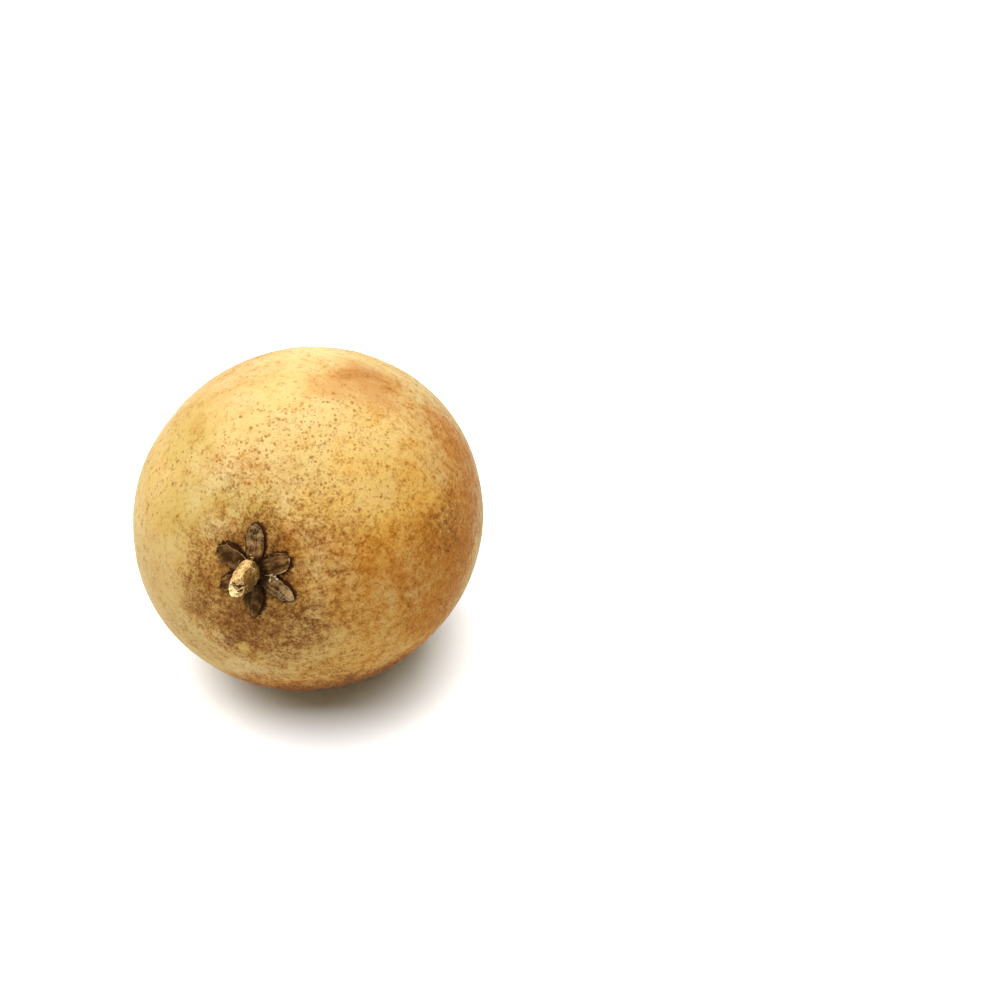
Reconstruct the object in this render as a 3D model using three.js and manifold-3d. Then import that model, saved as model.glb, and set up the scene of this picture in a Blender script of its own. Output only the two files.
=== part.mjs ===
// A sapodilla lying on its side, with its dried calyx and the broken stub of its stalk.
// It is shaped upright with the stem axis along +Z, then laid down on a small flat spot at the origin.

import * as THREE from 'three';
import { mergeVertices } from 'three/addons/utils/BufferGeometryUtils.js';
import Module from 'manifold-3d';

const wasm = await Module();
wasm.setup();

// All sizes are in millimetres and all turns in degrees

// Fruit body
const FRUIT_LENGTH = 69;
const FRUIT_WIDTH = 62.9;
const STEM_SHARE = 0.47;       // share of the length between the widest place and the stem end
const STEM_FULLNESS = 2.35;    // 2 would be an ellipse, more is blunter
const APEX_FULLNESS = 1.85;    // less than 2 is more pointed
const BASIN_DEPTH = 0.7;       // shallow hollow round the calyx
const BASIN_RADIUS = 7;
const SCAR_HEIGHT = 0.8;       // low point left by the style at the far end
const SCAR_RADIUS = 1.6;
const FRUIT_RINGS = 44;
const FRUIT_SECTORS = 64;
const POLE_CROWDING = 0.5;     // how much closer the rings lie at both ends

// Uneven growth: each lobe is a wave round the fruit, as a share of its radius
const LOBES = [
  { count: 2, share: 0.017, turn: 30 },
  { count: 3, share: 0.003, turn: -10 },
  { count: 4, share: 0.002, turn: 48 },
];

// How the fruit lies
const STEM_RISE = 23.8;        // the stem axis climbs this much from level
const STEM_HEADING = 15;       // and points this much from the front towards the left
const REST_DEPTH = 1;          // flattening of the skin where it rests

// Dried calyx, with its sepals from the right round to the lower right
const SKIN_GAP = 0.35;
const SEPALS = [
  { turn: 31, reach: 7.1, width: 3.5, tip: 0.4, lift: 0.5, whorl: 0 },
  { turn: 92, reach: 8.6, width: 3.3, tip: 0.36, lift: 0.3, whorl: 1 },
  { turn: 150, reach: 7.6, width: 3.5, tip: 0.4, lift: 0.7, whorl: 0 },
  { turn: 217, reach: 7.2, width: 3.2, tip: 0.3, lift: 0.4, whorl: 1 },
  { turn: 274, reach: 8.4, width: 3.6, tip: 0.14, lift: 0.3, whorl: 0 },
  { turn: 332, reach: 8.3, width: 3.2, tip: 0.36, lift: 0.6, whorl: 1 },
];
const SEPAL_THICKNESS = 0.75;
const SEPAL_ROOT = 2.6;        // the blades start here, inside the receptacle's wall
const SEPAL_CUP = 0.3;         // the edges stand above the middle
const WHORL_STEP = 0.2;        // the inner ring of sepals stands this much higher
const SEPAL_SHARES = [0.68, 0.92, 1, 0.9, 0.7];   // width from the root almost to the tip, at even steps
const BLADE_ACROSS = 6;
const BLADE_ALONG = 10;

// Receptacle: a low cup that carries the sepals and the foot of the stalk
const CUP_BORE = 2.1;
const CUP_FLOOR = 0.5;
const CUP_OUTLINE = [          // distance from the axis and height above the cup's foot
  [0, 0],
  [2.9, 0],
  [3.2, 0.45],
  [2.95, 1.05],
  [2.7, 1.3],
  [CUP_BORE, 1.2],
  [CUP_BORE, CUP_FLOOR],
  [0, CUP_FLOOR],
];
const CUP_SECTORS = 32;

// Broken stalk
const STALK_GAP = 0.35;
const STALK_LENGTH = 9.2;
const STALK_RADII = [1.5, 1.7, 1.88, 1.95, 1.92, 1.86, 1.8, 1.75, 1.6];   // from foot to break, at even steps
const BREAK_OUTLINE = [        // distance from the axis and height above the end of the stalk's side
  [1.2, 0.2],
  [0.7, -0.45],
  [0, -0.6],
];
const BREAK_SLOPE = 0.35;      // the broken end stands higher on one side
const BREAK_TURN = 60;
const STALK_RIDGES = 5;
const RIDGE_SHARE = 0.04;
const STALK_SECTORS = 30;

const radians = THREE.MathUtils.degToRad;
const lerp = THREE.MathUtils.lerp;
const UPRIGHT = new THREE.Vector3(0, 0, 1);

const stemLength = FRUIT_LENGTH * STEM_SHARE;
const apexLength = FRUIT_LENGTH - stemLength;
const fruitRadius = FRUIT_WIDTH / 2;

// A smooth bump that is 1 on the axis and fades over the given radius
function bump(distance, radius) {
  return Math.exp(-((distance / radius) ** 2));
}

// Height of the skin above the widest place, near the stem end
function stemSkin(distance) {
  const dome = stemLength * (1 - (distance / fruitRadius) ** 2) ** (1 / STEM_FULLNESS);
  return dome - BASIN_DEPTH * bump(distance, BASIN_RADIUS);
}

// Outline of half the fruit, from the apex up to the stem end
function fruitProfile() {
  const points = [];
  for (let ring = 0; ring <= FRUIT_RINGS; ring += 1) {
    const step = ring / FRUIT_RINGS;
    const crowded = step - POLE_CROWDING * Math.sin(2 * Math.PI * step) / (2 * Math.PI);
    const climb = -Math.cos(Math.PI * crowded);
    const fullness = climb > 0 ? STEM_FULLNESS : APEX_FULLNESS;
    const atPole = ring === 0 || ring === FRUIT_RINGS;
    const distance = atPole ? 0 : fruitRadius * Math.sqrt(1 - Math.abs(climb) ** fullness);
    const apexHeight = apexLength * climb - SCAR_HEIGHT * bump(distance, SCAR_RADIUS);
    points.push(new THREE.Vector2(distance, climb > 0 ? stemSkin(distance) : apexHeight));
  }
  return points;
}

// Share of the radius added by the lobes, strongest where the fruit is widest
function lobeShare(turn, distance) {
  const fade = (distance / fruitRadius) ** 2;
  let share = 0;
  for (const lobe of LOBES) {
    share += lobe.share * Math.cos(lobe.count * (turn - radians(lobe.turn)));
  }
  return share * fade;
}

// Moves every point of a geometry by a rule
function reshape(geometry, rule) {
  const position = geometry.attributes.position;
  const point = new THREE.Vector3();
  for (let i = 0; i < position.count; i += 1) {
    point.fromBufferAttribute(position, i);
    rule(point, Math.atan2(point.y, point.x), Math.hypot(point.x, point.y));
    position.setXYZ(i, point.x, point.y, point.z);
  }
  return geometry;
}

// A turned body standing upright on the Z axis
function turned(profile, sectors) {
  return new THREE.LatheGeometry(profile, sectors).rotateX(Math.PI / 2);
}

function fruitGeometry() {
  return reshape(turned(fruitProfile(), FRUIT_SECTORS), (point, turn, distance) => {
    const grown = 1 + lobeShare(turn, distance);
    point.x *= grown;
    point.y *= grown;
  });
}

// Solids and back

function solidOf(geometry) {
  const bare = geometry.clone();
  bare.deleteAttribute('normal');
  bare.deleteAttribute('uv');
  const welded = mergeVertices(bare);
  const mesh = new wasm.Mesh({
    numProp: 3,
    vertProperties: new Float32Array(welded.attributes.position.array),
    triVerts: new Uint32Array(welded.index.array),
  });
  mesh.merge();
  return new wasm.Manifold(mesh);
}

function geometryOf(solid) {
  const mesh = solid.getMesh();
  const geometry = new THREE.BufferGeometry();
  geometry.setAttribute('position', new THREE.BufferAttribute(mesh.vertProperties, 3));
  geometry.setIndex(new THREE.BufferAttribute(mesh.triVerts, 1));
  return geometry;
}

// Calyx

// A closed thin blade: one grid of points for each face, joined round the rim
function bladeGeometry(facePoint) {
  const grid = new THREE.PlaneGeometry(2, 1, BLADE_ACROSS, BLADE_ALONG);
  const place = grid.attributes.position;
  const count = place.count;
  const points = [];
  for (const face of [1, 0]) {
    for (let i = 0; i < count; i += 1) {
      points.push(...facePoint(place.getX(i), place.getY(i) + 0.5, face).toArray());
    }
  }
  const triangles = [];
  for (let i = 0; i < grid.index.count; i += 3) {
    const [a, b, c] = [0, 1, 2].map((corner) => grid.index.getX(i + corner));
    triangles.push(a, b, c, a + count, c + count, b + count);
  }
  const rim = gridRim();
  rim.forEach((here, i) => {
    const next = rim[(i + 1) % rim.length];
    triangles.push(here, here + count, next, next, here + count, next + count);
  });
  const geometry = new THREE.BufferGeometry();
  geometry.setAttribute('position', new THREE.Float32BufferAttribute(points, 3));
  geometry.setIndex(triangles);
  return geometry;
}

// Numbers of the grid's border points, anticlockwise as seen from above
function gridRim() {
  const columns = BLADE_ACROSS + 1;
  const last = BLADE_ALONG * columns;
  const rim = [];
  for (let row = 0; row < BLADE_ALONG; row += 1) rim.push(row * columns);
  for (let column = 0; column < BLADE_ACROSS; column += 1) rim.push(last + column);
  for (let row = BLADE_ALONG; row > 0; row -= 1) rim.push(row * columns + BLADE_ACROSS);
  for (let column = BLADE_ACROSS; column > 0; column -= 1) rim.push(column);
  return rim;
}

function sepalWidths(sepal) {
  const shares = [...SEPAL_SHARES, sepal.tip];
  return new THREE.SplineCurve(shares.map((share, i) => new THREE.Vector2(i, share)));
}

// One sepal: an ovate blade that follows the skin, cupped, with its tip lifted
function sepalGeometry(sepal) {
  const widths = sepalWidths(sepal);
  return bladeGeometry((across, along, face) => {
    const outward = lerp(SEPAL_ROOT, sepal.reach, along);
    const sideways = across * widths.getPoint(along).y * sepal.width / 2;
    const skin = stemSkin(Math.hypot(outward, sideways)) + SKIN_GAP;
    const raised = sepal.whorl * WHORL_STEP + sepal.lift * along ** 2 + SEPAL_CUP * across ** 2 * along;
    const point = new THREE.Vector3(sideways, outward, skin + raised + SEPAL_THICKNESS * face);
    return point.applyAxisAngle(UPRIGHT, radians(sepal.turn - 90));
  });
}

const cupFoot = stemSkin(0) + SKIN_GAP;

function cupGeometry() {
  const profile = CUP_OUTLINE.map(([distance, height]) => new THREE.Vector2(distance, cupFoot + height));
  return turned(profile, CUP_SECTORS);
}

function calyxGeometry() {
  let solid = solidOf(cupGeometry());
  for (const sepal of SEPALS) {
    solid = solid.add(solidOf(sepalGeometry(sepal)));
  }
  return geometryOf(solid);
}

// Stalk

// The stalk's outline, from its foot up the side and down into the broken end
function stalkProfile() {
  const step = STALK_LENGTH / (STALK_RADII.length - 1);
  const side = STALK_RADII.map((radius, i) => [radius, i * step]);
  const end = BREAK_OUTLINE.map(([distance, height]) => [distance, STALK_LENGTH + height]);
  return [[0, 0], ...side, ...end].map(([distance, height]) => new THREE.Vector2(distance, height));
}

function stalkGeometry() {
  const foot = cupFoot + CUP_FLOOR + STALK_GAP;
  return reshape(turned(stalkProfile(), STALK_SECTORS), (point, turn, distance) => {
    const climb = point.z / STALK_LENGTH;
    const ridged = 1 - RIDGE_SHARE * (1 - Math.cos(STALK_RIDGES * turn)) / 2;
    const slope = BREAK_SLOPE * distance * Math.cos(turn - radians(BREAK_TURN));
    point.x *= ridged;
    point.y *= ridged;
    point.z += foot + slope * climb ** 4;
  });
}

// Laying the fruit down

function lyingMatrix() {
  const heading = new THREE.Matrix4().makeRotationZ(radians(-STEM_HEADING));
  const tilt = new THREE.Matrix4().makeRotationX(radians(90 - STEM_RISE));
  const turn = heading.multiply(tilt);
  const body = fruitGeometry().applyMatrix4(turn);
  body.computeBoundingBox();
  const rise = -body.boundingBox.min.z - REST_DEPTH;
  return new THREE.Matrix4().makeTranslation(0, 0, rise).multiply(turn);
}

// The fruit with everything below the ground plane cut away
function restedFruit(lying) {
  const ground = new THREE.BoxGeometry(2 * FRUIT_LENGTH, 2 * FRUIT_LENGTH, FRUIT_LENGTH);
  ground.translate(0, 0, -FRUIT_LENGTH / 2);
  return geometryOf(solidOf(fruitGeometry().applyMatrix4(lying)).subtract(solidOf(ground)));
}

// Middle of the flat spot that the fruit rests on
function restMiddle(geometry) {
  const position = geometry.attributes.position;
  const spot = new THREE.Box3();
  const point = new THREE.Vector3();
  for (let i = 0; i < position.count; i += 1) {
    point.fromBufferAttribute(position, i);
    if (Math.abs(point.z) < 1e-4) spot.expandByPoint(point);
  }
  return spot.getCenter(new THREE.Vector3());
}

function piece(name, geometry, colour, roughness) {
  const material = new THREE.MeshStandardMaterial({ color: colour, roughness, metalness: 0 });
  const mesh = new THREE.Mesh(geometry, material);
  mesh.name = name;
  return mesh;
}

const lying = lyingMatrix();
const fruit = restedFruit(lying);
const middle = restMiddle(fruit);

const sapodilla = new THREE.Group();
sapodilla.name = 'sapodilla';
sapodilla.add(piece('fruit', fruit, 0xd9ae62, 0.8));
sapodilla.add(piece('calyx', calyxGeometry().applyMatrix4(lying), 0x5b4634, 0.85));
sapodilla.add(piece('stalk', stalkGeometry().applyMatrix4(lying), 0xb48f58, 0.9));
sapodilla.position.set(-middle.x, -middle.y, 0);

export default sapodilla;
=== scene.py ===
"""A sapodilla on a pale studio floor: fine skin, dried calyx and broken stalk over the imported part."""

import math
import random

import bpy
import numpy as np
from mathutils import Matrix, Vector, noise
from mathutils.bvhtree import BVHTree


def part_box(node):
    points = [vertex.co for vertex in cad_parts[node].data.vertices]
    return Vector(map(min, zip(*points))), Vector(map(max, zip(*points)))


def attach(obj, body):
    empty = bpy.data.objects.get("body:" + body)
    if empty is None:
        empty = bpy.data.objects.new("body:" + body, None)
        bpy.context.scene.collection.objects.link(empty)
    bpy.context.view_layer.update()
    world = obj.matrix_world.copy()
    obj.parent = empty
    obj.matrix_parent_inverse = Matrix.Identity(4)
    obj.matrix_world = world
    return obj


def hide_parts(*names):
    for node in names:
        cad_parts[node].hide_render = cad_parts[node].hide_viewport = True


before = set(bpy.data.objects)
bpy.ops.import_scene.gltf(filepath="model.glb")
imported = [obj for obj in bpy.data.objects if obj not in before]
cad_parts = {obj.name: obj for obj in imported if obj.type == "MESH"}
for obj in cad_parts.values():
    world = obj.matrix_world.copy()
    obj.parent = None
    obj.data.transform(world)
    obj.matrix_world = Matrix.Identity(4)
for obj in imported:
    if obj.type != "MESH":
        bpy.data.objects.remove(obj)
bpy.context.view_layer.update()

# Lengths are in millimetres in the stem frame: +Z runs out of the fruit along its stem axis
MM = 0.001

# Shapes of noise and bells
SEED_STEP = (17.3, -9.1, 5.7)  # each seed looks the noise up this much further on
FLAT_TOP = 4                   # power of a bell that is flat in its middle

# How the fruit lies, as in the part
STEM_RISE = math.radians(23.8)
STEM_HEADING = math.radians(15)
STEM_SHARE = 0.47              # the widest place, as a share of the length from the stem end

# Skin
SKIN_RINGS = 288
SKIN_SECTORS = 320
SMOOTHING_ROUNDS = 30
ABOVE_SEAT = 20.0              # rays that feel for the skin under the calyx start this high
SCAR_HEIGHT = 0.5
SCAR_RADIUS = 1.3
RELIEF = [(14.0, 0.16), (5.0, 0.07), (1.8, 0.025)]   # size and height of the skin's unevenness
PUCKER_COUNT = 17
PUCKER_HEIGHT = 0.1
PUCKER_RADIUS = 6.0
PUCKER_SPREAD = PUCKER_RADIUS / 2
PUCKER_WANDER = 2.0            # how far noise shifts the puckers' wave, in radians
PUCKER_WANDER_SIZE = 5.0
PUCKER_SEED = 7
# Painted shade on the skin round the edges of the sepals, and grime on the scar at the apex
SHADE_AND_GRIME_REACH = 0.45             # dark skin round the edges of the sepals

# Patches on the skin: polar angle from the stem, turn round it, radius and strength. Russet and tan are
# scurfy, and bare takes both away; on the lower limb they are painted shade, and tan partly so on the right
# edge.
# Gold, pale, green and blush are soft colours, and pale is painted sheen at the top edge. Lenticels crowd on
# speckle.
PATCHES = {
    "russet_and_shade": [
        (0, 0, 12.0, 0.85),
        (15, 180, 7.0, 0.5),
        (17, 225, 9.5, 0.8),
        (16, 270, 10.0, 0.9),
        (17, 303, 10.0, 0.8),
        (23, 330, 8.0, 0.45),
        (36, 232, 7.0, 0.25),
        (28, 254, 1.8, 1.0),
        (28, 288, 6.0, 0.55),
        (25, 7, 2.2, 0.5),
        (18, 42, 6.0, 0.45),
        (25, 40, 8.0, 0.3),
        (44, 290, 10.0, 0.25),
        (64, 14, 6.0, 0.35),
        (27, 114, 2.6, 0.4),
        (80, 74, 5.0, 0.2),
        # Painted shade along the lower limb, where the fruit turns toward the floor: this patch to the end
        # of the list
        (57, 268, 6.0, 0.7),
        (60, 280, 7.0, 0.9),
        (62, 289, 7.5, 1.0),
        (65, 299, 7.5, 1.0),
        (68, 310, 6.5, 0.9),
    ],
    "tan": [
        (0, 0, 15.0, 0.45),
        (20, 275, 14.0, 0.4),
        (18, 42, 7.0, 0.6),
        (24, 57, 4.0, 0.3),
        (24, 12, 9.0, 0.5),
        (36, 8, 10.0, 0.7),
        (46, 7, 10.0, 0.7),
        (58, 8, 11.0, 0.7),
        (56, 31, 7.0, 0.4),
        # Darker tan on the right edge, partly its colour and partly painted shade: this patch and the one at
        # turn 345
        (68, 4, 12.0, 0.95),
        (80, 20, 12.0, 0.8),
        (88, 38, 10.0, 0.8),
        # Partly painted shade on the right edge
        (65, 345, 12.0, 0.85),
        (72, 335, 10.0, 0.6),
        (50, 340, 11.0, 0.5),
        (31, 350, 11.0, 0.55),
        (50, 305, 13.0, 0.4),
        (60, 318, 12.0, 0.45),
        (74, 34, 8.0, 0.5),
        # Painted shade along the lower limb, where the fruit turns toward the floor: these six patches
        (55, 267, 7.0, 0.9),
        (58, 279, 8.0, 1.0),
        (60, 289, 8.0, 1.0),
        (64, 299, 8.0, 1.0),
        (67, 310, 7.0, 1.0),
        (70, 322, 6.0, 0.8),
        (78, 52, 11.0, 0.35),
        (28, 105, 5.5, 0.4),
    ],
    "gold": [
        (8, 270, 17.0, 0.7),
        (45, 45, 12.0, 0.5),
        (60, 45, 13.0, 0.5),
        (72, 30, 11.0, 0.5),
        (52, 325, 13.0, 0.6),
        (62, 330, 12.0, 0.6),
        (40, 22, 10.0, 0.8),
        (24, 57, 5.0, 0.6),
        (31, 42, 6.0, 0.7),
        (30, 350, 11.0, 0.6),
        (44, 160, 10.0, 0.4),
        (57, 26, 9.0, 0.9),
        (48, 295, 11.0, 0.5),
    ],
    "pale": [
        # Painted sheen along the top edge
        (95, 97, 10.0, 0.6),
        (56, 176, 9.0, 0.5),
        (45, 152, 8.0, 0.3),
    ],
    "green": [
        (22, 112, 7.5, 0.7),
        (30, 152, 9.0, 0.6),
        (48, 132, 8.0, 0.65),
        (60, 130, 8.0, 0.55),
        (55, 62, 10.0, 0.3),
        (29, 263, 4.0, 0.5),
        (45, 250, 6.0, 0.4),
    ],
    "speckle": [
        (37, 80, 14.0, 1.0),
        (35, 106, 10.0, 0.9),
        (48, 66, 12.0, 0.8),
        (40, 150, 10.0, 0.5),
        (60, 138, 7.0, 0.45),
        (45, 30, 10.0, 0.5),
        (45, 300, 12.0, 0.4),
    ],
    "bare": [
        (29, 263, 1.3, 0.8),
        (21, 231, 1.3, 0.4),
    ],
    "blush": [
        (80, 74, 7.0, 0.85),
        (75, 69, 7.0, 0.8),
        (68, 79, 6.0, 0.6),
        (70, 122, 13.0, 0.35),
        (52, 126, 7.0, 0.3),
    ],
}
PATCH_SEED = 11
HIDDEN_PATCHES = 9             # more of each kind on the side away from the stem
HIDDEN_POLAR = (95, 170)
HIDDEN_RADIUS = (4.0, 12.0)
HIDDEN_STRENGTH = (0.2, 0.6)
PATCH_CORE = 0.3               # a patch is strongest up to this share of its radius
PATCH_END = 1.35               # and has faded out at this share
PATCH_WARP = 2.2               # how far noise pushes the edges of the patches
PATCH_WARP_NOISE = [(6.0, 1.0, 21), (2.2, 0.5, 22)]   # size, share and seed
PATCH_FULL_WARP = 6.0          # patches with a smaller radius are pushed less
LEAST_SPECKLE = 0.12           # there are some lenticels everywhere

# Soft patches: how much the clouds of the skin add to the mask, and where the colour starts and is full
SOFT_PATCHES = [
    ("pale", 0.5, 0.3, 1.2),
    ("gold", 0.6, 0.3, 1.4),
    ("green", 0.5, 0.35, 1.6),
    ("blush", 0.4, 0.2, 1.2),
]

# Lenticels: spacing, radius, and the share of places that have one where the speckle is strongest
LENTICELS = [(1.5, 0.3, 1.0), (0.95, 0.23, 1.0), (0.65, 0.15, 0.7)]
LENTICEL_CORE = 0.2            # a dot is full up to this share of its radius
LENTICEL_END = 1.2             # and has faded out at this share
LENTICEL_SPREAD = 0.5          # by chance a dot reaches further, by up to this share of its radius
LENTICEL_FAINT = 0.3           # how gradually the dots grow faint where there are fewer
LENTICEL_SHARE = 0.75          # how much of the skin's colour a dot hides
MOTTLE_SHARE = 0.35            # how much of it the fine mottling hides

# Colours as they look on a screen, from 0 to 255
SKIN_COLOURS = {
    "straw": (172, 150, 102),
    "buff": (168, 142, 86),
    "honey": (166, 136, 82),
    # Pale also paints sheen along the top edge
    "pale": (178, 160, 110),
    "gold": (181, 141, 64),
    "green": (148, 130, 56),
    "blush": (150, 105, 54),
    "mottle": (138, 104, 46),
    # Tan and russet also paint shade along the lower limb, and tan partly on the right edge
    "tan": (152, 95, 25),
    "russet_and_shade": (106, 65, 27),
    "scurf": (80, 45, 14),
    "lenticel": (114, 76, 22),
    # Painted shade round the sepals, and grime on the scar at the apex
    "shade_and_grime": (48, 24, 10),
}
SEPAL_COLOURS = {
    "brown": (56, 34, 14),
    "fawn": (126, 92, 50),
    "pale": (174, 149, 108),
    "fleck": (50, 30, 13),
    # Deep: painted shade at the roots of the sepals, and darker blades
    "deep": (32, 18, 6),
    # Rim: painted highlight along the curled edges, and the paler tips
    "rim": (146, 118, 80),
}
STALK_COLOURS = {
    "straw": (178, 148, 98),
    "bark": (128, 92, 46),
    # Dark: painted shade on the stalk's side turned away from the lamp
    "dark": (88, 62, 20),
    "crack": (82, 52, 22),
    # Painted shade below the rim of the broken end, on the side away from the lip
    "rust": (112, 70, 34),
    "cream": (212, 190, 138),
    # Pit: painted shade in the hollows of the broken end
    "pit": (96, 58, 28),
}

# Calyx, with its sepals from the right round to the lower right. Roundness shapes the tip, curl lifts the
# two edges and edge paints them pale as a highlight where they curl, bend carries the tip sideways, and fray
# nicks the tip.
SEPALS = [
    {"turn": 28, "reach": 7.1, "width": 3.6, "roundness": 2.8, "lift": 0.3, "bend": -0.3, "fray": 0.2,
     "curl": (0.3, 0.6), "edge": (0.1, 0.9), "pale": 0.15, "dark": 0.4},
    {"turn": 93, "reach": 8.6, "width": 3.25, "roundness": 2.3, "lift": 0.3, "bend": -0.15, "fray": 0.4,
     "curl": (0.25, 0.2), "edge": (0.4, 0.3), "pale": 0.6, "dark": 0.0},
    {"turn": 155, "reach": 7.7, "width": 3.9, "roundness": 3.2, "lift": 0.5, "bend": -0.1, "fray": 0.1,
     "curl": (0.1, 1.3), "edge": (0.1, 0.8), "pale": 0.2, "dark": 0.3},
    {"turn": 217, "reach": 7.1, "width": 3.2, "roundness": 2.4, "lift": 0.3, "bend": 0.2, "fray": 0.2,
     "curl": (0.3, 0.3), "edge": (0.3, 0.3), "pale": 0.2, "dark": 0.3},
    {"turn": 274, "reach": 8.6, "width": 3.5, "roundness": 1.5, "lift": 0.2, "bend": 0.5, "fray": 0.0,
     "curl": (0.35, 0.2), "edge": (0.4, 0.4), "pale": 0.35, "dark": 0.5},
    {"turn": 332, "reach": 8.4, "width": 3.1, "roundness": 2.8, "lift": 0.2, "bend": 0.2, "fray": 0.7,
     "curl": (0.25, 0.15), "edge": (0.7, 0.5), "pale": 0.72, "dark": 0.1},
]
SEPAL_ROOT = 1.9
SEPAL_ROOT_SHARE = 0.62        # width at the root, as a share of the widest place
SEPAL_WIDEST = 0.42            # where the blade is widest, from root to tip
SEPAL_ALONG = 44
SEPAL_ACROSS = 26
SEPAL_GAP = 0.15
SEPAL_THICKNESS = 0.4
SEPAL_THIN_EDGE = 0.6          # share of the thickness that is lost at the edges
SEPAL_THIN_TIP = 0.45          # share of the thickness that is lost at the tip
SEPAL_ROOT_RISE = 0.8
SEPAL_RIB = 0.14
SEPAL_RIB_WIDTH = 0.14         # as a share of half the blade's width
SEPAL_CURL_POWER = 2.2         # a higher power keeps the curl closer to the edges
SEPAL_CURL_GROWTH = 2.5        # how fast the curl grows from the root on
SEPAL_WRINKLE = 0.2
SEPAL_WRINKLE_PITCH = (3.2, 0.7)   # across and along the blade
SEPAL_CRUMPLE = 0.6            # broad unevenness, as a share of the wrinkles
SEPAL_RAGGED = 0.16
SEPAL_RAGGED_PITCH = 6
SEPAL_NICK_PITCH = 3.5
SEPAL_VEIN_PITCH = (4, 1.5)    # across and along the blade
SEPAL_RIM_POWER = (8, 14)      # higher powers keep the pale rim closer to the edges and to the tip
SEPAL_ROOT_PALE = 0.35         # paleness at the root, as a share of that at the tip
# Painted shade at the roots of the sepals, where they meet the skin and each other
SEPAL_ROOT_SHADE = 0.85
SEPAL_ROOT_SHADE_END = 0.35    # from root to tip
SEPAL_BLADE_FADE = (0.4, 0.9)  # where the blade's darkness fades, from root to tip
MOUND_RADIUS = 3.1
MOUND_HEIGHT = 1.1
MOUND_DOME = 2.2               # power of the dome's curve
MOUND_CRUST = 0.3
MOUND_CRUST_NOISE = [(1.3, 1.0, 40), (3, 0.6, 45)]   # pitch, share and seed
MOUND_VEIN = 0.5
MOUND_DEEP = 0.6
MOUND_RINGS = 22
MOUND_SECTORS = 84

# Shreds of dried tissue at the feet of the sepals: how many, between which turns and distances, how pale
CHIP_SEED = 5
CHIPS = [
    {"count": 10, "turn": (340, 372), "distance": (2.9, 4.4), "pale": (1.0, 1.3)},
    {"count": 14, "turn": (85, 175), "distance": (2.2, 3.6), "pale": (0.0, 0.8)},
]
CHIP_SIZE = (0.18, 0.38)
CHIP_RISE = (0.3, 0.7)         # height above the sepals
CHIP_LEAN = 0.9                # the steepest lean, in radians
CHIP_SHAPE = (0.5, 1.0, 0.35)  # width, length and thickness, as shares of the size
CHIP_UNEVEN = 0.4
CHIP_UNEVEN_PITCH = 1.5
CHIP_VEIN = 0.7
CHIP_RINGS = 6
CHIP_SECTORS = 9

# Stalk
STALK_FOOT = 0.5
STALK_LENGTH = 9.4
STALK_SHIFT = (-0.5, 0.5)      # the foot stands a little off the stem axis
STALK_RADII = [1.5, 1.75, 1.95, 2.0, 1.93, 1.8, 1.67, 1.55, 1.36]   # from foot to break, at even steps
STALK_RINGS = 100
STALK_SECTORS = 120
STALK_END_RINGS = 34
STALK_RIDGES = 3
STALK_RIDGE = 0.035            # height of the blunt ridges along the stalk, as a share of its radius
STALK_RIDGE_TURN = math.radians(59)
STALK_OVAL = 0.14              # the foot is wider one way than the other, as a share of its radius
STALK_OVAL_TURN = math.radians(125)
STALK_FISSURE = 0.1
STALK_FISSURE_PITCH = (2.2, 1.2)   # round the stalk and along it
STALK_CRUST = 0.12
STALK_CRUST_NOISE = [(3, 7, 1.0), (7, 22, 0.7)]   # pitch round the stalk and along it, and share
STALK_DARK_TURN = math.radians(8)   # painted shade, dark and greenish, on the side turned away from the lamp
STALK_DARK_EDGE = (0.1, 0.6)   # cosines of the turn away from it where the dark side starts and is full
BREAK_START = 0.8              # the bark is torn from this share of the length up, with painted shade on the side away from the lip
BREAK_JAG = 0.7
BREAK_JAG_NOISE = [(0.9, 1.0, 8), (2.6, 0.5, 18)]   # pitch, share and seed
BREAK_JAG_POWER = 6            # a higher power keeps the jag closer to the broken end
BREAK_LIP = 0.5                # the broken end stands out on one side
BREAK_LIP_TURN = math.radians(225)
BREAK_FIBRE = 0.35
BREAK_FIBRE_NOISE = [(2.4, 1.0, 3), (6, 0.8, 30)]   # pitch, share and seed
BREAK_RIM = 0.2                # outer share of the broken end where fibres and pits fade out
BREAK_LEAST_TORN = 0.4
PIT_WANDER = 0.35              # how far noise bends the pits
PIT_WANDER_PITCH = 1.7
PIT_WANDER_SEEDS = (50, 60)
BREAK_PITS = [                 # place on the broken end, half length across and up, and depth
    (0.45, 0.4, 0.75, 0.3, 0.5),
    (-0.75, 0.6, 0.45, 0.25, 0.4),
    (0.6, -0.35, 0.45, 0.2, 0.4),
    (-0.3, 0.0, 0.3, 0.25, 0.3),
]

# Light, floor and camera, in metres, with the lens and the sensor in millimetres
LAMP_SIZE = 1.3
LAMP_PLACE = (-0.18, 0.12, 0.8)
LAMP_POWER = 32.0
SKY_STRENGTH = 0.12
FLOOR_SIZE = 8.0
FLOOR_SHADE = 0.88
FLOOR_ROUGHNESS = 0.9
CAMERA_RISE = math.radians(42)
CAMERA_LENS = 100.0
CAMERA_SENSOR = 36.0
CAMERA_DEPTH = 0.5106
FRUIT_IN_FRAME = (0.3115, 0.5150)   # the fruit's middle from the picture's left and top edges

scene = bpy.context.scene


# Stem frame

def cad_surface(node):
    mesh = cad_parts[node].data
    corners = [vertex.co.copy() for vertex in mesh.vertices]
    return BVHTree.FromPolygons(corners, [tuple(face.vertices) for face in mesh.polygons])


def box_middle(node):
    low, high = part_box(node)
    return (low + high) / 2


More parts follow.
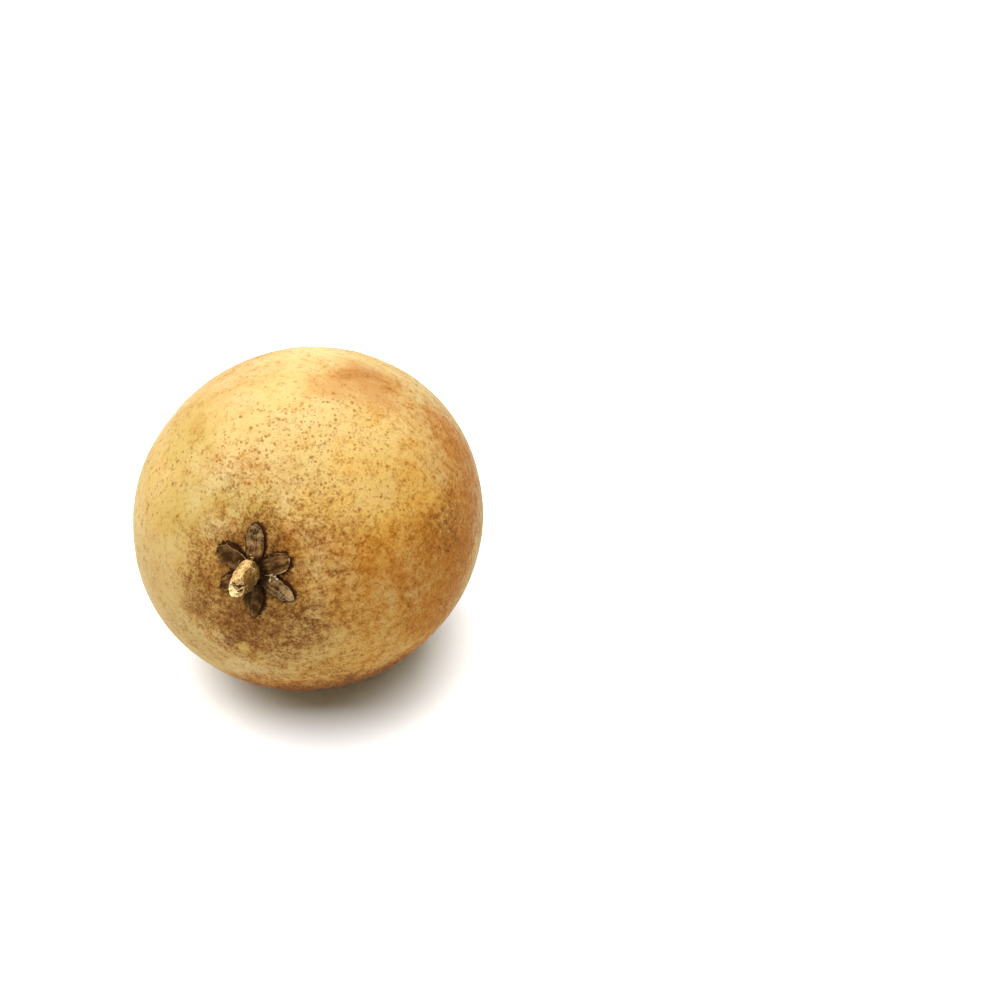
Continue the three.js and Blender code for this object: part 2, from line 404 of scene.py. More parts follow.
stem_turn = Matrix.Rotation(-STEM_HEADING, 3, "Z") @ Matrix.Rotation(math.pi / 2 - STEM_RISE, 3, "X")
stem_axis = stem_turn @ Vector((0, 0, 1))
fruit_surface = cad_surface("fruit")
seat = fruit_surface.ray_cast(box_middle("stalk"), -stem_axis)[0]
apex = fruit_surface.ray_cast(seat - stem_axis * MM, -stem_axis)[0]
fruit_middle = seat.lerp(apex, STEM_SHARE)
middle_drop = (seat - fruit_middle).length / MM


def to_world(points):
    """Points in the stem frame, in millimetres from the seat of the calyx, to metres in the part's frame."""
    return np.asarray(points) * MM @ np.array(stem_turn).T + np.array(seat)


def skin_height(x, y):
    """Height of the skin in the stem frame, near the seat of the calyx."""
    above = seat + stem_turn @ Vector((x, y, ABOVE_SEAT)) * MM
    hit = fruit_surface.ray_cast(above, -stem_axis)[0]
    return (hit - seat).dot(stem_axis) / MM


# Meshes

def bumps(*place):
    """Smooth noise from about -1 to 1 at one place."""
    return noise.noise(Vector(place))


def grain(points, size, seed):
    """Smooth noise at points in millimetres, with bumps of the given size."""
    shift = Vector([step * seed for step in SEED_STEP])
    return np.array([noise.noise(Vector(point) / size + shift) for point in points])


def layered(x, y, layers):
    """Sum of smooth noises at one place, each with a pitch, a share and a seed."""
    return sum(share * bumps(pitch * x, pitch * y, seed) for pitch, share, seed in layers)


def bell(distance, reach, power=2):
    """1 at no distance, and about a third at the reach."""
    return np.exp(-((distance / reach) ** power))


def smooth_step(low, high, value):
    share = np.clip((value - low) / (high - low), 0, 1)
    return share * share * (3 - 2 * share)


def grid_faces(rows, columns, start=0, wrap=True):
    """Quads between rows of points, joined round into rings if wrap is set."""
    faces = []
    for row in range(rows - 1):
        for column in range(columns if wrap else columns - 1):
            here = start + row * columns + column
            side = start + row * columns + (column + 1) % columns
            faces.append((here, side, side + columns, here + columns))
    return faces


def new_form(*masks):
    """A form with no points yet, and an empty list of numbers for each mask."""
    return {"points": [], "faces": [], "masks": {mask: [] for mask in masks}}


def add_point(form, spot, **numbers):
    """One more point of a form, with its number for each mask, or 0 where none is given."""
    form["points"].append(spot)
    for mask, values in form["masks"].items():
        values.append(numbers.get(mask, 0.0))


def add_piece(name, node, points, faces, masks, material):
    """A mesh that stands for a node of the part, with a number at each point for every mask."""
    mesh = bpy.data.meshes.new(name)
    mesh.from_pydata(points.tolist(), [], faces)
    mesh.shade_smooth()
    for mask, values in masks.items():
        layer = mesh.attributes.new(mask, "FLOAT", "POINT")
        layer.data.foreach_set("value", np.asarray(values, dtype=np.float32))
    mesh.materials.append(material)
    piece = bpy.data.objects.new(name, mesh)
    scene.collection.objects.link(piece)
    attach(piece, "root")
    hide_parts(node)


# Materials

class Paint:
    """A material made of nodes, with lengths in millimetres and a set of named colours."""

    MIX_FACTOR, MIX_A, MIX_B, MIX_RESULT = 0, 6, 7, 2   # sockets of a mix of two colours
    SCALE_FACTOR = 3               # socket of a vector's scale

    def __init__(self, name, colours):
        self.colours = colours
        self.material = bpy.data.materials.new(name)
        self.material.use_nodes = True
        self.tree = self.material.node_tree
        self.shader = self.tree.nodes["Principled BSDF"]
        place = self.add("ShaderNodeTexCoord").outputs["Object"]
        scaled = self.add("ShaderNodeVectorMath", {0: place, self.SCALE_FACTOR: 1 / MM}, operation="SCALE")
        self.place = scaled.outputs["Vector"]

    def add(self, kind, inputs=None, **settings):
        node = self.tree.nodes.new(kind)
        for setting, value in settings.items():
            setattr(node, setting, value)
        for socket, value in (inputs or {}).items():
            self.put(node.inputs[socket], value)
        return node

    def put(self, socket, value):
        if isinstance(value, bpy.types.NodeSocket):
            self.tree.links.new(value, socket)
        else:
            socket.default_value = value

    def tint(self, name):
        """One of the named colours, made linear by the curve of a screen."""
        linear = [((value / 255 + 0.055) / 1.055) ** 2.4 for value in self.colours[name]]
        return (*linear, 1.0)

    def mask(self, name):
        return self.add("ShaderNodeAttribute", attribute_name=name).outputs["Fac"]

    def noise(self, size, detail, roughness=0.5):
        inputs = {"Vector": self.place, "Scale": 1 / size, "Detail": detail, "Roughness": roughness}
        return self.add("ShaderNodeTexNoise", inputs).outputs["Fac"]

    def jostled(self, size, amount):
        """Places pushed about by noise, so that round marks come out uneven."""
        wander = self.add("ShaderNodeTexNoise", {"Vector": self.place, "Scale": 1 / size}).outputs["Color"]
        scaled = self.add("ShaderNodeVectorMath", {0: wander, self.SCALE_FACTOR: amount}, operation="SCALE")
        inputs = {0: self.place, 1: scaled.outputs["Vector"]}
        return self.add("ShaderNodeVectorMath", inputs, operation="ADD").outputs["Vector"]

    def cells(self, place, size):
        """Distance to the nearest cell's middle in millimetres, and two random numbers for each cell."""
        node = self.add("ShaderNodeTexVoronoi", {"Vector": place, "Scale": 1 / size})
        split = self.add("ShaderNodeSeparateColor", {"Color": node.outputs["Color"]})
        return self.times(node.outputs["Distance"], size), split.outputs["Red"], split.outputs["Green"]

    def times(self, first, second):
        return self.add("ShaderNodeMath", {0: first, 1: second}, operation="MULTIPLY").outputs["Value"]

    def sum(self, *weighted):
        """Adds up pairs of a value and its weight."""
        total = 0.0
        for value, weight in weighted:
            node = self.add("ShaderNodeMath", {0: value, 1: weight, 2: total}, operation="MULTIPLY_ADD")
            total = node.outputs["Value"]
        return total

    def fade(self, value, low, high):
        """0 at low and 1 at high, with a soft change between them."""
        inputs = {"Value": value, "From Min": low, "From Max": high}
        return self.add("ShaderNodeMapRange", inputs, interpolation_type="SMOOTHSTEP").outputs["Result"]

    def mix(self, factor, first, second):
        inputs = {self.MIX_FACTOR: factor, self.MIX_A: first, self.MIX_B: second}
        return self.add("ShaderNodeMix", inputs, data_type="RGBA").outputs[self.MIX_RESULT]

    def coat(self, colour, factor, name):
        """One of the named colours laid over another, as thick as the factor says."""
        return self.mix(factor, colour, self.tint(name))

    def bump(self, height, depth, strength):
        inputs = {"Height": height, "Distance": depth * MM, "Strength": strength}
        return self.add("ShaderNodeBump", inputs).outputs["Normal"]

    def finish(self, colour, roughness, normal, shine):
        self.put(self.shader.inputs["Base Color"], colour)
        self.put(self.shader.inputs["Roughness"], roughness)
        self.put(self.shader.inputs["Normal"], normal)
        self.put(self.shader.inputs["Specular IOR Level"], shine)
        return self.material


def skin_ground(paint, cloud):
    """The clouded ground colour of the skin, with the soft patches on it."""
    wide = paint.noise(size=16.0, detail=3.0)
    colour = paint.coat(paint.tint("straw"), paint.fade(wide, 0.35, 0.65), "buff")
    colour = paint.coat(colour, paint.fade(cloud, 0.4, 0.75), "honey")
    for mask, clouding, start, full in SOFT_PATCHES:
        patch = paint.fade(paint.sum((paint.mask(mask), 1.0), (cloud, clouding)), start, full)
        colour = paint.coat(colour, patch, mask)
    return colour


def skin_material():
    paint = Paint("sapodilla_skin", SKIN_COLOURS)
    cloud = paint.noise(size=5.0, detail=4.0, roughness=0.55)
    blotch = paint.noise(size=1.4, detail=4.0, roughness=0.65)
    fine = paint.noise(size=0.45, detail=3.0, roughness=0.6)
    grit = paint.cells(paint.jostled(size=0.6, amount=0.25), size=0.36)[1]
    speck = paint.sum((fine, 1.0), (grit, 0.3))
    russet_and_shade, tan, speckle = paint.mask("russet_and_shade"), paint.mask("tan"), paint.mask("speckle")
    colour = skin_ground(paint, cloud)
    mottle = paint.fade(paint.sum((blotch, 1.0), (fine, 0.6)), 0.82, 1.15)
    colour = paint.coat(colour, paint.times(mottle, MOTTLE_SHARE), "mottle")
    # Tan stains, with painted shade along the lower limb and partly on the right edge
    stain_and_shade = paint.fade(paint.sum((tan, 1.0), (cloud, 0.6), (blotch, 1.3), (speck, 0.5)), 1.22, 2.3)
    colour = paint.coat(colour, stain_and_shade, "tan")
    # Russet veil, with painted shade along the lower limb
    veil = paint.fade(paint.sum((russet_and_shade, 1.0), (cloud, 0.6), (blotch, 1.5), (speck, 0.5)), 1.27, 2.72)
    colour = paint.coat(colour, veil, "russet_and_shade")
    cover = paint.sum((russet_and_shade, 0.8), (tan, 0.45), (speckle, 0.15), (0.1, 1.0))
    scurf = paint.fade(paint.sum((speck, 1.0), (blotch, 0.6), (cover, 0.1)), 0.87, 1.43)
    colour = paint.coat(colour, paint.times(scurf, cover), "scurf")
    colour = lenticels(paint, colour)
    # Painted shade round the edges of the sepals, and grime on the scar at the apex
    shade_and_grime = paint.fade(paint.sum((paint.mask("shade_and_grime"), 1.0), (speck, 0.9), (blotch, 0.9)), 1.15, 1.95)
    colour = paint.coat(colour, shade_and_grime, "shade_and_grime")
    height = paint.sum((speck, 0.6), (blotch, 0.5), (scurf, 0.4))
    normal = paint.bump(height, depth=0.12, strength=0.5)
    return paint.finish(colour, paint.fade(fine, -0.5, 1.3), normal, shine=0.03)


def lenticels(paint, colour):
    """Small brown corky dots, closer together where the skin is speckled."""
    place = paint.jostled(size=0.6, amount=0.35)
    for spacing, radius, share in LENTICELS:
        distance, chance, size = paint.cells(place, spacing)
        wanted = paint.fade(paint.sum((paint.mask("speckle"), share), (chance, -1.0)), 0.0, LENTICEL_FAINT)
        inside = paint.sum((distance, -1.0), (size, LENTICEL_SPREAD * radius))
        dot = paint.fade(inside, -LENTICEL_END * radius, -LENTICEL_CORE * radius)
        colour = paint.coat(colour, paint.times(paint.times(dot, wanted), LENTICEL_SHARE), "lenticel")
    return colour


def sepal_material():
    paint = Paint("sapodilla_sepal", SEPAL_COLOURS)
    wide = paint.noise(size=1.5, detail=3.0)
    fine = paint.noise(size=0.35, detail=3.0, roughness=0.65)
    vein = paint.sum((paint.mask("vein"), 0.35), (wide, 0.95))
    colour = paint.coat(paint.tint("brown"), paint.fade(vein, 0.5, 0.85), "fawn")
    pale = paint.fade(paint.sum((paint.mask("pale"), 1.0), (vein, 0.7), (fine, 1.6)), 1.55, 2.4)
    colour = paint.coat(colour, pale, "pale")
    colour = paint.coat(colour, paint.fade(fine, 0.52, 0.8), "fleck")
    # Deep: painted shade at the roots of the sepals, and darker blades
    deep = paint.fade(paint.sum((paint.mask("deep"), 1.0), (wide, 0.6), (fine, 0.6)), 0.65, 1.4)
    colour = paint.coat(colour, deep, "deep")
    # Pale rim: painted highlight along the curled edges, and the paler tips
    rim = paint.fade(paint.sum((paint.mask("rim"), 1.0), (wide, 0.8)), 0.75, 1.25)
    colour = paint.coat(colour, rim, "rim")
    normal = paint.bump(paint.sum((fine, 1.0), (wide, 1.0)), depth=0.25, strength=0.8)
    return paint.finish(colour, paint.fade(fine, -0.8, 1.1), normal, shine=0.02)


def stalk_material():
    paint = Paint("sapodilla_stalk", STALK_COLOURS)
    wide = paint.noise(size=1.4, detail=3.0)
    fine = paint.noise(size=0.35, detail=3.0, roughness=0.65)
    colour = paint.coat(paint.tint("straw"), paint.fade(wide, 0.38, 0.62), "bark")
    # Painted shade on the side turned away from the lamp
    dark = paint.fade(paint.sum((paint.mask("dark"), 0.8), (wide, 1.2), (fine, 1.2)), 1.3, 2.1)
    colour = paint.coat(colour, dark, "dark")
    colour = paint.coat(colour, paint.fade(fine, 0.5, 0.72), "crack")
    # Painted shade below the rim of the broken end, on the side away from the lip
    rust = paint.fade(paint.sum((paint.mask("rust"), 0.8), (wide, 1.0), (fine, 1.0)), 1.3, 2.1)
    colour = paint.coat(colour, rust, "rust")
    cream = paint.fade(paint.sum((paint.mask("torn"), 1.0), (fine, 1.6)), 1.25, 1.9)
    colour = paint.coat(colour, cream, "cream")
    # Painted shade in the hollows of the broken end
    pit = paint.fade(paint.sum((paint.mask("pit"), 1.0), (fine, 0.5)), 0.35, 0.8)
    colour = paint.coat(colour, pit, "pit")
    normal = paint.bump(fine, depth=0.22, strength=0.9)
    return paint.finish(colour, paint.fade(fine, -0.9, 1.0), normal, shine=0.05)


# Fruit skin

def skin_rays():
    """Directions from the fruit's middle, in rings from the apex up to the stem."""
    polar = np.linspace(math.pi, 0, SKIN_RINGS + 1)[:, None]
    turn = np.linspace(0, 2 * math.pi, SKIN_SECTORS, endpoint=False)[None, :]
    ones = np.ones_like(turn)
    return np.stack([np.sin(polar) * np.cos(turn), np.sin(polar) * np.sin(turn), np.cos(polar) * ones], -1)


def skin_radii(rays):
    """Distance from the fruit's middle to the solid's skin, with its facets smoothed away."""
    world = rays.reshape(-1, 3) @ np.array(stem_turn).T
    hits = [fruit_surface.ray_cast(fruit_middle, Vector(ray))[3] / MM for ray in world]
    radii = np.array(hits).reshape(rays.shape[:2])
    for _ in range(SMOOTHING_ROUNDS):
        radii[0] = radii[0].mean()
        radii[-1] = radii[-1].mean()
        radii = (np.roll(radii, 1, 1) + 2 * radii + np.roll(radii, -1, 1)) / 4
        radii[1:-1] = (radii[:-2] + 2 * radii[1:-1] + radii[2:]) / 4
    return radii


def without_repeats(rings):
    """The rings in one row of points, with one point for each pole."""
    wide = rings.reshape(*rings.shape[:2], -1)
    middle = wide[1:-1].reshape(-1, wide.shape[-1])
    return np.concatenate([wide[0, :1], middle, wide[-1, :1]])


def skin_faces():
    """Quads between the rings, and fans at the two poles."""
    rows = SKIN_RINGS - 1
    last = 1 + (rows - 1) * SKIN_SECTORS
    pole = last + SKIN_SECTORS
    faces = grid_faces(rows, SKIN_SECTORS, 1)
    for sector in range(SKIN_SECTORS):
        following = (sector + 1) % SKIN_SECTORS
        faces.append((0, 1 + following, 1 + sector))
        faces.append((last + sector, last + following, pole))
    return faces


def skin_relief(points, rays):
    """Unevenness of the skin: broad swellings, puckers round the calyx and the scar at the apex."""
    lift = np.zeros(len(points))
    for seed, (size, height) in enumerate(RELIEF):
        lift += height * grain(points, size, seed)
    off_axis = np.hypot(points[:, 0], points[:, 1])
    turn = np.arctan2(points[:, 1], points[:, 0])
    ring = bell(off_axis - PUCKER_RADIUS, PUCKER_SPREAD) * (rays[:, 2] > 0)
    wander = PUCKER_WANDER * grain(points, PUCKER_WANDER_SIZE, PUCKER_SEED)
    lift += PUCKER_HEIGHT * ring * np.cos(PUCKER_COUNT * turn + wander)
    lift += SCAR_HEIGHT * bell(off_axis, SCAR_RADIUS) * (rays[:, 2] < 0)
    return lift


def patch_mask(patches, rays, warp):
    """The strongest patch at each point, fading out from its middle."""
    mask = np.zeros(len(rays))
    for polar, turn, radius, strength in patches:
        polar, turn = math.radians(polar), math.radians(turn)
        ray = (math.sin(polar) * math.cos(turn), math.sin(polar) * math.sin(turn), math.cos(polar))
        away = middle_drop * np.arccos(np.clip(rays @ np.array(ray), -1, 1))
        away = away + warp * min(1, radius / PATCH_FULL_WARP)
        faded = smooth_step(PATCH_CORE * radius, PATCH_END * radius, away)
        mask = np.maximum(mask, strength * (1 - faded))
    return mask


def hidden_patches(draw):
    """Patches placed by seeded chance on the side away from the stem."""
    patches = []
    for _ in range(HIDDEN_PATCHES):
        place = (draw.uniform(*HIDDEN_POLAR), draw.uniform(0, 360))
        patches.append((*place, draw.uniform(*HIDDEN_RADIUS), draw.uniform(*HIDDEN_STRENGTH)))
    return patches


def shade_and_grime_mask(points, rays):
    """1 under the sepals, at the stem and on the scar at the apex, fading out past their edges: painted
    shade where the sepals meet the skin, and dark grime on the scar.
    """
    off_axis = np.hypot(points[:, 0], points[:, 1])
    mask = bell(off_axis, MOUND_RADIUS, FLAT_TOP)
    for sepal in SEPALS:
        turn = math.radians(sepal["turn"])
        outward = points[:, 0] * math.cos(turn) + points[:, 1] * math.sin(turn)
        sideways = np.abs(points[:, 0] * math.sin(turn) - points[:, 1] * math.cos(turn))
        along = (outward - SEPAL_ROOT) / (sepal["reach"] - SEPAL_ROOT)
        half = sepal_width(np.clip(along, 0, 1), sepal["roundness"]) * sepal["width"] / 2
        past = np.hypot(np.maximum(sideways - half, 0), np.maximum(outward - sepal["reach"], 0))
        mask = np.maximum(mask, bell(past, SHADE_AND_GRIME_REACH) * (outward > 0))
    return np.where(rays[:, 2] > 0, mask, bell(off_axis, SCAR_RADIUS, FLAT_TOP))


def build_skin():
    ring_rays = skin_rays()
    rays = without_repeats(ring_rays)
    points = rays * without_repeats(skin_radii(ring_rays))
    points = points + rays * skin_relief(points, rays)[:, None]
    warp = PATCH_WARP * sum(share * grain(points, size, seed) for size, share, seed in PATCH_WARP_NOISE)
    draw = random.Random(PATCH_SEED)
    masks = {"shade_and_grime": shade_and_grime_mask(points, rays)}
    for mask, patches in PATCHES.items():
        masks[mask] = patch_mask(patches + hidden_patches(draw), rays, warp)
    masks["speckle"] = np.maximum(masks["speckle"], LEAST_SPECKLE)
    covered = 1 - masks.pop("bare")
    masks["russet_and_shade"] *= covered
    masks["tan"] *= covered
    points[:, 2] -= middle_drop
    world = to_world(points)
    world[:, 2] = np.maximum(world[:, 2], 0)
    add_piece("fruit_skin", "fruit", world, skin_faces(), masks, skin_material())


# Calyx

def sepal_width(along, roundness):
    """Width as a share of the widest place, closing at the tip."""
    swell = SEPAL_ROOT_SHARE + (1 - SEPAL_ROOT_SHARE) * np.sin(along / SEPAL_WIDEST * math.pi / 2)
    past = np.clip((along - SEPAL_WIDEST) / (1 - SEPAL_WIDEST), 0, 1)
    return np.where(along < SEPAL_WIDEST, swell, np.sqrt(1 - past**roundness))


def sepal_point(sepal, seed, along, across):
    """Place of one point on a sepal's lower face, in the stem frame. Each seed has noise of its own."""
    edge = int(across > 0)
    ragged = 1 + SEPAL_RAGGED * bumps(SEPAL_RAGGED_PITCH * along, 2 * edge, 9 * seed)
    sideways = across * float(sepal_width(along, sepal["roundness"])) * sepal["width"] / 2 * ragged
    nick = sepal["fray"] * along**4 * (0.5 + bumps(SEPAL_NICK_PITCH * across, 7 * seed, 2))
    outward = SEPAL_ROOT + (sepal["reach"] - SEPAL_ROOT) * along - nick
    turn = Matrix.Rotation(math.radians(sepal["turn"] - 90), 3, "Z")
    spot = turn @ Vector((sideways + sepal["bend"] * along**2, outward, 0))
    curl = sepal["curl"][edge] * abs(across) ** SEPAL_CURL_POWER * min(1, SEPAL_CURL_GROWTH * along)
    rib = SEPAL_RIB * bell(across, SEPAL_RIB_WIDTH) * (1 - along)
    pitch_across, pitch_along = SEPAL_WRINKLE_PITCH
    folds = bumps(pitch_across * sideways, pitch_along * outward, 3 * seed)
    folds += SEPAL_CRUMPLE * bumps(spot.x, spot.y, seed)
    lift = SEPAL_ROOT_RISE * (1 - along) ** 3 + sepal["lift"] * along**2 + curl + rib + SEPAL_WRINKLE * folds
    spot.z = skin_height(spot.x, spot.y) + SEPAL_GAP + lift
    return spot


def sepal_looks(sepal, seed, along, across):
    """Numbers of the masks at one point: painted shade darkest at the root, and a pale rim along the edges
    that is a painted highlight where they curl.
    """
    edge_power, tip_power = SEPAL_RIM_POWER
    pitch_across, pitch_along = SEPAL_VEIN_PITCH
    root = SEPAL_ROOT_SHADE * (1 - smooth_step(0.0, SEPAL_ROOT_SHADE_END, along))
    blade = sepal["dark"] * (1 - smooth_step(*SEPAL_BLADE_FADE, along))
    return {
        "rim": sepal["edge"][int(across > 0)] * max(across**edge_power, along**tip_power),
        "vein": 0.5 + 0.5 * bumps(pitch_across * across, pitch_along * along, 11 * seed),
        "pale": sepal["pale"] * (SEPAL_ROOT_PALE + (1 - SEPAL_ROOT_PALE) * along),
        "deep": max(root, blade),
    }


def add_sepal(calyx, sepal, seed):
    """Upper and lower face of one sepal, lying on the skin, with its edges curled and its blade wrinkled."""
    start = len(calyx["points"])
    for face in (1, 0):
        for row in range(SEPAL_ALONG + 1):
            along = math.sin(math.pi / 2 * row / SEPAL_ALONG)
            for column in range(SEPAL_ACROSS + 1):
                across = 2 * column / SEPAL_ACROSS - 1
                thinned = (1 - SEPAL_THIN_EDGE * across**2) * (1 - SEPAL_THIN_TIP * along)
                spot = sepal_point(sepal, seed, along, across)
                spot.z += face * SEPAL_THICKNESS * thinned
                add_point(calyx, spot, **sepal_looks(sepal, seed, along, across))
    calyx["faces"] += sepal_faces(start)


def sepal_faces(start):
    """Quads of the upper and the lower face, and of the edge between them."""
    rows, columns = SEPAL_ALONG + 1, SEPAL_ACROSS + 1
    count = rows * columns
    top = grid_faces(rows, columns, start, wrap=False)
    faces = top + [tuple(corner + count for corner in reversed(face)) for face in top]
    border = list(range(columns - 1))
    border += [row * columns + columns - 1 for row in range(rows - 1)]
    border += [(rows - 1) * columns + column for column in range(columns - 1, 0, -1)]
    border += [row * columns for row in range(rows - 1, 0, -1)]
    for here, after in zip(border, border[1:] + border[:1]):
        faces.append((start + after, start + here, start + here + count, start + after + count))
    return faces


def add_mound(calyx):
    """The crusty middle that the sepals and the stalk grow from."""
    calyx["faces"] += grid_faces(MOUND_RINGS + 1, MOUND_SECTORS, len(calyx["points"]))
    for ring in range(MOUND_RINGS + 1):
        share = 1 - ring / MOUND_RINGS
        for sector in range(MOUND_SECTORS):
            turn = 2 * math.pi * sector / MOUND_SECTORS
            radius = MOUND_RADIUS * share
            x, y = radius * math.cos(turn), radius * math.sin(turn)
            crust = MOUND_CRUST * layered(x, y, MOUND_CRUST_NOISE) * (1 - share**4)
            rise = MOUND_HEIGHT * (1 - share**MOUND_DOME) + crust
            spot = Vector((x, y, skin_height(x, y) + rise))
            add_point(calyx, spot, vein=MOUND_VEIN, deep=MOUND_DEEP)


def add_chip(calyx, chips, draw):
    """One shred: a flattened, uneven lump that leans on the foot of a sepal."""
    turn = math.radians(draw.uniform(*chips["turn"]))
    distance = draw.uniform(*chips["distance"])
    x, y = distance * math.cos(turn), distance * math.sin(turn)
    height = skin_height(x, y) + SEPAL_GAP + SEPAL_THICKNESS + draw.uniform(*CHIP_RISE)
    middle = Vector((x, y, height))
    length = draw.uniform(*CHIP_SIZE)
    pale = draw.uniform(*chips["pale"])
    heading = Matrix.Rotation(draw.uniform(0, math.pi), 3, "Z")
    lean = heading @ Matrix.Rotation(draw.uniform(-CHIP_LEAN, CHIP_LEAN), 3, "X")
    calyx["faces"] += grid_faces(CHIP_RINGS + 1, CHIP_SECTORS, len(calyx["points"]))
    for ring in range(CHIP_RINGS + 1):
        polar = math.pi * (1 - ring / CHIP_RINGS)
        for sector in range(CHIP_SECTORS):
            around = 2 * math.pi * sector / CHIP_SECTORS
            ray = Matrix.Rotation(around, 3, "Z") @ Vector((math.sin(polar), 0, math.cos(polar)))
            lump = length * (1 + CHIP_UNEVEN * bumps(*(CHIP_UNEVEN_PITCH * ray + middle)))
            flat = Vector([share * part for share, part in zip(CHIP_SHAPE, ray)])
            add_point(calyx, middle + lean @ flat * lump, vein=CHIP_VEIN, pale=pale)


def build_calyx():
    calyx = new_form("rim", "vein", "pale", "deep")
    for seed, sepal in enumerate(SEPALS):
        add_sepal(calyx, sepal, seed)
    add_mound(calyx)
    draw = random.Random(CHIP_SEED)
    for chips in CHIPS:
        for _ in range(chips["count"]):
            add_chip(calyx, chips, draw)
    points = to_world(calyx["points"])
    add_piece("calyx_sepals", "calyx", points, calyx["faces"], calyx["masks"], sepal_material())


# Stalk

def stalk_radius(climb, turn):
    """Radius of the stalk's bark, with blunt ridges and fissures along it and crusty bumps."""
    radius = np.interp(climb, np.linspace(0, 1, len(STALK_RADII)), STALK_RADII)
    x, y = math.cos(turn), math.sin(turn)
    ridge = STALK_RIDGE * math.cos(STALK_RIDGES * (turn - STALK_RIDGE_TURN))
    oval = STALK_OVAL * math.cos(2 * (turn - STALK_OVAL_TURN)) * (1 - climb)
    around, upward = STALK_FISSURE_PITCH
    fissure = STALK_FISSURE * bumps(around * x, around * y, upward * climb)
    crust = 0.0
    for around, upward, share in STALK_CRUST_NOISE:
        crust += STALK_CRUST * share * bumps(around * x, around * y, upward * climb)
    return radius * (1 + ridge + oval + fissure + crust)


def lip_share(turn):
    """1 on the side where the broken end stands out, 0 on the other side."""
    return 0.5 + 0.5 * math.cos(turn - BREAK_LIP_TURN)


def rim_height(x, y, turn):
    """Height of the broken end's rim above the stalk's length."""
    return BREAK_JAG * layered(x, y, BREAK_JAG_NOISE) + BREAK_LIP * math.cos(turn - BREAK_LIP_TURN)


def pit_depth(x, y):
    """Depth of the cracks in the broken end."""
    bend_x, bend_y = [bumps(PIT_WANDER_PITCH * x, PIT_WANDER_PITCH * y, seed) for seed in PIT_WANDER_SEEDS]
    x, y = x + PIT_WANDER * bend_x, y + PIT_WANDER * bend_y
    depth = 0.0
    for at_x, at_y, half_x, half_y, pit in BREAK_PITS:
        depth += pit * bell(x - at_x, half_x, FLAT_TOP) * bell(y - at_y, half_y, FLAT_TOP)
    return depth


def add_bark(stalk, turns):
    """Rings up the stalk's side, torn near the broken end, with painted shade there on the side away from
    the lip and on the side away from the lamp.
    """
    for ring in range(STALK_RINGS + 1):
        climb = ring / STALK_RINGS
        near_break = float(smooth_step(BREAK_START, 1.0, climb))
        for turn in turns:
            radius = stalk_radius(climb, turn)
            x, y = radius * math.cos(turn), radius * math.sin(turn)
            jag = rim_height(x, y, turn) * climb**BREAK_JAG_POWER
            spot = (x, y, STALK_FOOT + STALK_LENGTH * climb + jag)
            torn = lip_share(turn) * near_break
            # Painted shade below the rim of the broken end, on the side away from the lip
            rust = (1 - lip_share(turn)) * near_break
            # Painted shade on the side turned away from the lamp
            dark = float(smooth_step(*STALK_DARK_EDGE, math.cos(turn - STALK_DARK_TURN)))
            add_point(stalk, spot, torn=torn, rust=rust, dark=dark)


def add_break(stalk, turns):
    """Rings from the rim over the broken end to its middle, with fibres and pits."""
    top = STALK_FOOT + STALK_LENGTH
    rim = stalk["points"][-STALK_SECTORS:]
    for ring in range(1, STALK_END_RINGS + 1):
        share = 1 - ring / STALK_END_RINGS
        inward = min(1, (1 - share) / BREAK_RIM)
        for turn, (rim_x, rim_y, rim_top) in zip(turns, rim):
            x, y = rim_x * share, rim_y * share
            fibre = BREAK_FIBRE * layered(x, y, BREAK_FIBRE_NOISE) * inward
            hollow = pit_depth(x, y) * inward
            spot = (x, y, top + (rim_top - top) * share**2 + fibre - hollow)
            torn = BREAK_LEAST_TORN + (1 - BREAK_LEAST_TORN) * lip_share(turn)
            # Painted shade on the broken end, on the side away from the lip
            rust = (1 - lip_share(turn)) * share
            add_point(stalk, spot, torn=torn, rust=rust, pit=hollow)


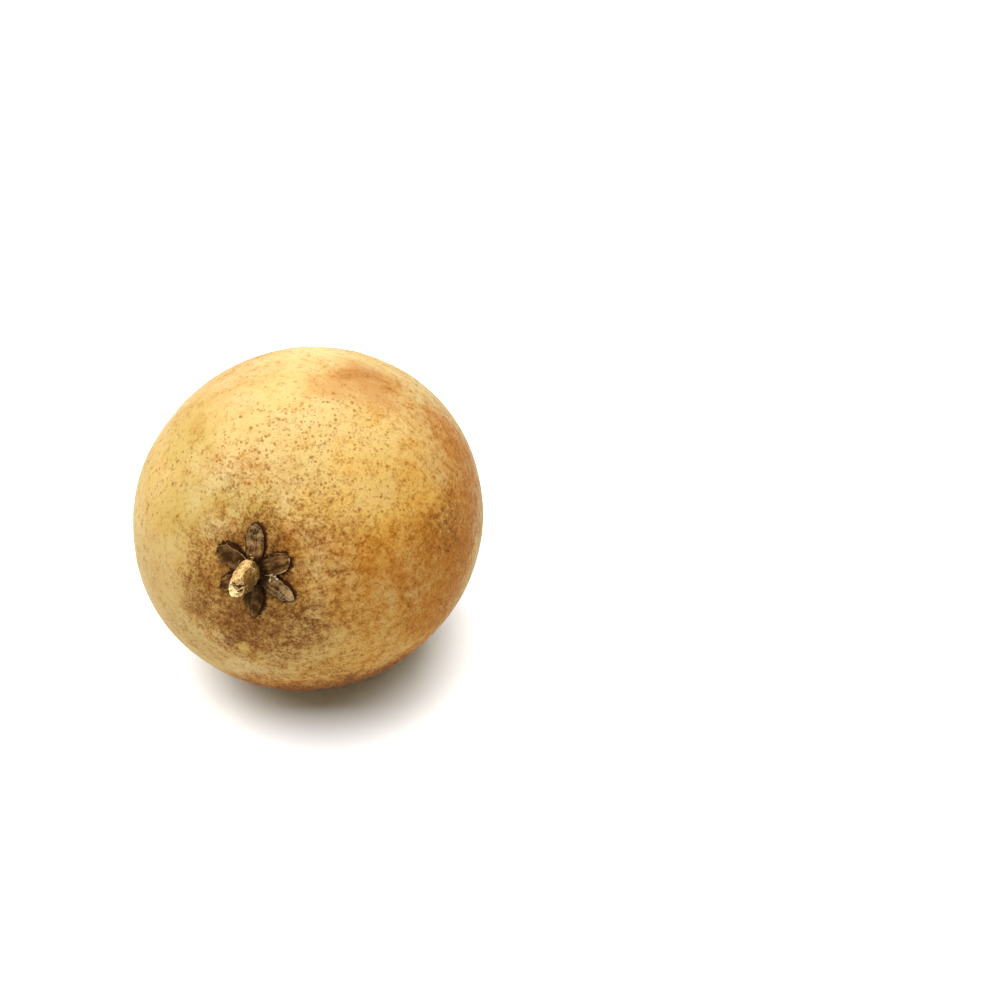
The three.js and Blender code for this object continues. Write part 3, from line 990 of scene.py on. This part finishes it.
def build_stalk():
    stalk = new_form("torn", "rust", "pit", "dark")
    turns = [2 * math.pi * sector / STALK_SECTORS for sector in range(STALK_SECTORS)]
    add_bark(stalk, turns)
    add_break(stalk, turns)
    stalk["faces"] = grid_faces(STALK_RINGS + 1 + STALK_END_RINGS, STALK_SECTORS)
    points = np.array(stalk["points"])
    lean = 1 - (points[:, 2:] - STALK_FOOT) / STALK_LENGTH
    points[:, :2] += lean * np.array(STALK_SHIFT)
    points = to_world(points)
    add_piece("stalk_stub", "stalk", points, stalk["faces"], stalk["masks"], stalk_material())


# Surroundings

def build_floor():
    half = FLOOR_SIZE / 2
    mesh = bpy.data.meshes.new("floor")
    corners = [(-half, -half, 0), (half, -half, 0), (half, half, 0), (-half, half, 0)]
    mesh.from_pydata(corners, [], [(0, 1, 2, 3)])
    material = bpy.data.materials.new("floor")
    material.use_nodes = True
    shader = material.node_tree.nodes["Principled BSDF"]
    shader.inputs["Base Color"].default_value = (FLOOR_SHADE, FLOOR_SHADE, FLOOR_SHADE, 1)
    shader.inputs["Roughness"].default_value = FLOOR_ROUGHNESS
    shader.inputs["Specular IOR Level"].default_value = 0.0
    mesh.materials.append(material)
    floor = bpy.data.objects.new("floor", mesh)
    scene.collection.objects.link(floor)


def build_light():
    lamp = bpy.data.lights.new("overhead", "AREA")
    lamp.shape = "SQUARE"
    lamp.size = LAMP_SIZE
    lamp.energy = LAMP_POWER
    overhead = bpy.data.objects.new("overhead", lamp)
    overhead.location = LAMP_PLACE
    scene.collection.objects.link(overhead)
    world = bpy.data.worlds.new("studio")
    world.use_nodes = True
    sky = world.node_tree.nodes["Background"]
    sky.inputs["Color"].default_value = (1, 1, 1, 1)
    sky.inputs["Strength"].default_value = SKY_STRENGTH
    scene.world = world
    scene.view_settings.view_transform = "Standard"


def build_camera():
    camera = bpy.data.objects.new("camera", bpy.data.cameras.new("camera"))
    camera.data.lens = CAMERA_LENS
    camera.data.sensor_width = CAMERA_SENSOR
    turn = Matrix.Rotation(math.pi / 2 - CAMERA_RISE, 3, "X")
    frame_width = CAMERA_DEPTH * CAMERA_SENSOR / CAMERA_LENS
    across = (FRUIT_IN_FRAME[0] - 0.5) * frame_width
    upward = (0.5 - FRUIT_IN_FRAME[1]) * frame_width
    camera.location = fruit_middle - turn @ Vector((across, upward, -CAMERA_DEPTH))
    camera.rotation_euler = turn.to_euler()
    scene.collection.objects.link(camera)
    scene.camera = camera


build_skin()
build_calyx()
build_stalk()
build_floor()
build_light()
build_camera()
